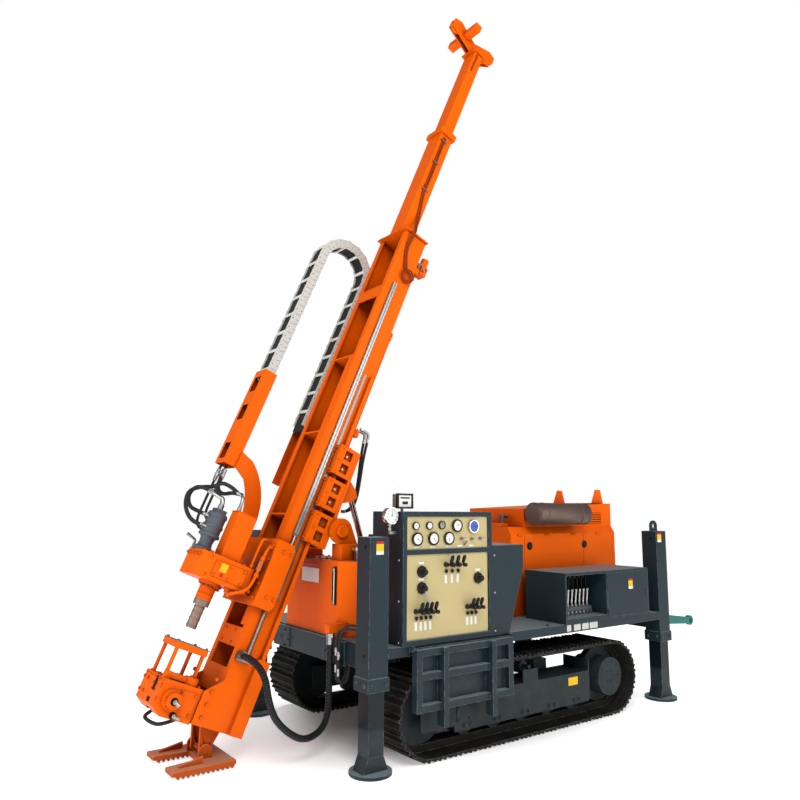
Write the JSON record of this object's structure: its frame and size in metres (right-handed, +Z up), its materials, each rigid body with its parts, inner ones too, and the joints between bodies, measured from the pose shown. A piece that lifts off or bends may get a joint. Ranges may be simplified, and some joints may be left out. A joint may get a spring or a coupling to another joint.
{
  "type": "crawler core drilling rig",
  "caption": "Crawler-mounted core drilling rig: tilting and sliding mast with rotation head, jib, rod clamp and foot, four jacks, control console and engine hood.",
  "frame": {"origin": "on the ground under the middle of the machine's overall length and width", "axes": "+X towards the mast and the bore hole, +Y towards the control console, +Z up"},
  "size_m": [5.0627, 1.9629, 6.3909],
  "materials": {
    "orange_paint": "gloss enamel",
    "grey_paint": "satin enamel",
    "track_steel": "worn steel with soil",
    "dark_frame": "satin enamel",
    "beige_panel": "matt enamel",
    "bare_steel": "ground steel",
    "chrome_rod": "polished",
    "chain_plastic": "moulded",
    "teal_paint": "enamel",
    "muffler_steel": "heat resistant paint",
    "hose_rubber": "matt"
  },
  "bodies": {
    "chassis": {"track_left": "track_steel", "track_right": "track_steel", "track_frame_left": "dark_frame", "track_frame_right": "dark_frame", "track_wheels_left": "dark_frame", "track_wheels_right": "dark_frame", "carbody": "grey_paint", "deck": "grey_paint", "front_beam": "grey_paint", "jack_tubes_front": "grey_paint", "jack_tubes_rear": "grey_paint", "oil_tank": "orange_paint", "tilt_ears": "orange_paint", "filler_cap": "bare_steel", "console": "grey_paint", "console_panels": "beige_panel", "control_levers": "bare_steel", "gauges": "bare_steel", "valve_box": "grey_paint", "hood": "orange_paint", "cowl": "orange_paint", "engine": "dark_frame", "mast_rest": "orange_paint", "muffler": "muffler_steel", "tow_bar": "teal_paint", "tilt_clevises": "grey_paint", "root_hose": "hose_rubber"},
    "jack_front_left": {"jack_leg_front_left": "grey_paint"},
    "jack_front_right": {"jack_leg_front_right": "grey_paint"},
    "jack_rear_left": {"jack_leg_rear_left": "grey_paint"},
    "jack_rear_right": {"jack_leg_rear_right": "grey_paint"},
    "folding_platform": {"platform": "grey_paint"},
    "slide_frame_body": {"slide_frame": "orange_paint", "guide_clamps": "orange_paint", "slide_cylinder": "orange_paint"},
    "tilt_barrel_body": {"tilt_barrels": "orange_paint"},
    "tilt_rod_body": {"tilt_rods": "chrome_rod"},
    "mast": {"mast_beam": "orange_paint", "mast_rails": "orange_paint", "mast_jib": "orange_paint", "slide_rod": "chrome_rod", "feed_chain": "bare_steel", "rod_clamp": "orange_paint", "rod_guide": "orange_paint", "chain_trough": "orange_paint", "foot_hanger": "orange_paint"},
    "mast_foot": {"foot": "orange_paint"},
    "jib_tip": {"jib_extension": "orange_paint", "crown": "orange_paint"},
    "front_sheave": {"sheave_front": "orange_paint"},
    "back_sheave": {"sheave_back": "orange_paint"},
    "rotation_head": {"carriage": "orange_paint", "gearbox": "orange_paint", "head_motor": "dark_frame", "chain_bracket": "orange_paint", "head_hose_outer": "hose_rubber", "head_hose_inner": "hose_rubber"},
    "spindle_body": {"spindle": "bare_steel"},
    "energy_chain_body": {"energy_chain": "chain_plastic"}
  },
  "joints": [
    {"name": "jack_front_left_slide", "type": "slide", "parent": "chassis", "child": "jack_front_left", "axis": [0, 0, 1], "range_m": [-0.3, 0.38]},
    {"name": "jack_front_right_slide", "type": "slide", "parent": "chassis", "child": "jack_front_right", "axis": [0, 0, 1], "range_m": [-0.3, 0.38]},
    {"name": "jack_rear_left_slide", "type": "slide", "parent": "chassis", "child": "jack_rear_left", "axis": [0, 0, 1], "range_m": [-0.3, 0.38]},
    {"name": "jack_rear_right_slide", "type": "slide", "parent": "chassis", "child": "jack_rear_right", "axis": [0, 0, 1], "range_m": [-0.3, 0.38]},
    {"name": "platform_fold", "type": "hinge", "parent": "chassis", "child": "folding_platform", "pos_m": [0, 0.935, 0.738], "axis": [1, 0, 0], "range_deg": [0, 90]},
    {"name": "mast_tilt", "type": "hinge", "parent": "chassis", "child": "slide_frame_body", "pos_m": [1.3, 0, 1.486], "axis": [0, 1, 0], "range_deg": [-62, 23]},
    {"name": "tilt_cylinder_swing", "type": "hinge", "parent": "chassis", "child": "tilt_barrel_body", "pos_m": [0.85, 0, 0.85], "axis": [0, 1, 0], "range_deg": [-8.2, 3]},
    {"name": "tilt_cylinder_rod", "type": "slide", "parent": "tilt_barrel_body", "child": "tilt_rod_body", "axis": [0.3097, 0, 0.9508], "range_m": [-0.3, 0.107]},
    {"name": "mast_slide", "type": "slide", "parent": "slide_frame_body", "child": "mast", "axis": [-0.3907, 0, 0.9205], "range_m": [-0.35, 0.5]},
    {"name": "foot_swivel", "type": "hinge", "parent": "mast", "child": "mast_foot", "pos_m": [2.18543, 0, 0.09107], "axis": [0, 1, 0], "range_deg": [-25, 25]},
    {"name": "jib_telescope", "type": "slide", "parent": "mast", "child": "jib_tip", "axis": [-0.3907, 0, 0.9205], "range_m": [-0.8, 0]},
    {"name": "front_sheave_spin", "type": "hinge", "parent": "jib_tip", "child": "front_sheave", "pos_m": [-0.10135, 0, 6.32296], "axis": [0, 1, 0], "continuous": true},
    {"name": "back_sheave_spin", "type": "hinge", "parent": "jib_tip", "child": "back_sheave", "pos_m": [-0.50638, 0, 6.15104], "axis": [0, 1, 0], "continuous": true},
    {"name": "head_feed", "type": "slide", "parent": "mast", "child": "rotation_head", "axis": [-0.3907, 0, 0.9205], "range_m": [-0.05, 1.5]},
    {"name": "spindle_spin", "type": "hinge", "parent": "rotation_head", "child": "spindle_body", "pos_m": [2.16151, 0, 1.14555], "axis": [-0.3907, 0, 0.9205], "continuous": true},
    {"name": "energy_chain_slide", "type": "slide", "parent": "mast", "child": "energy_chain_body", "axis": [-0.3907, 0, 0.9205], "range_m": [-0.026, 0.751]}
  ],
  "couplings": [
    {"joint": "tilt_cylinder_swing", "follows": "mast_tilt", "ratio": 0.12},
    {"joint": "tilt_cylinder_rod", "follows": "mast_tilt", "m_per_rad": 0.258},
    {"joint": "energy_chain_slide", "follows": "head_feed", "ratio": 0.5}
  ]
}
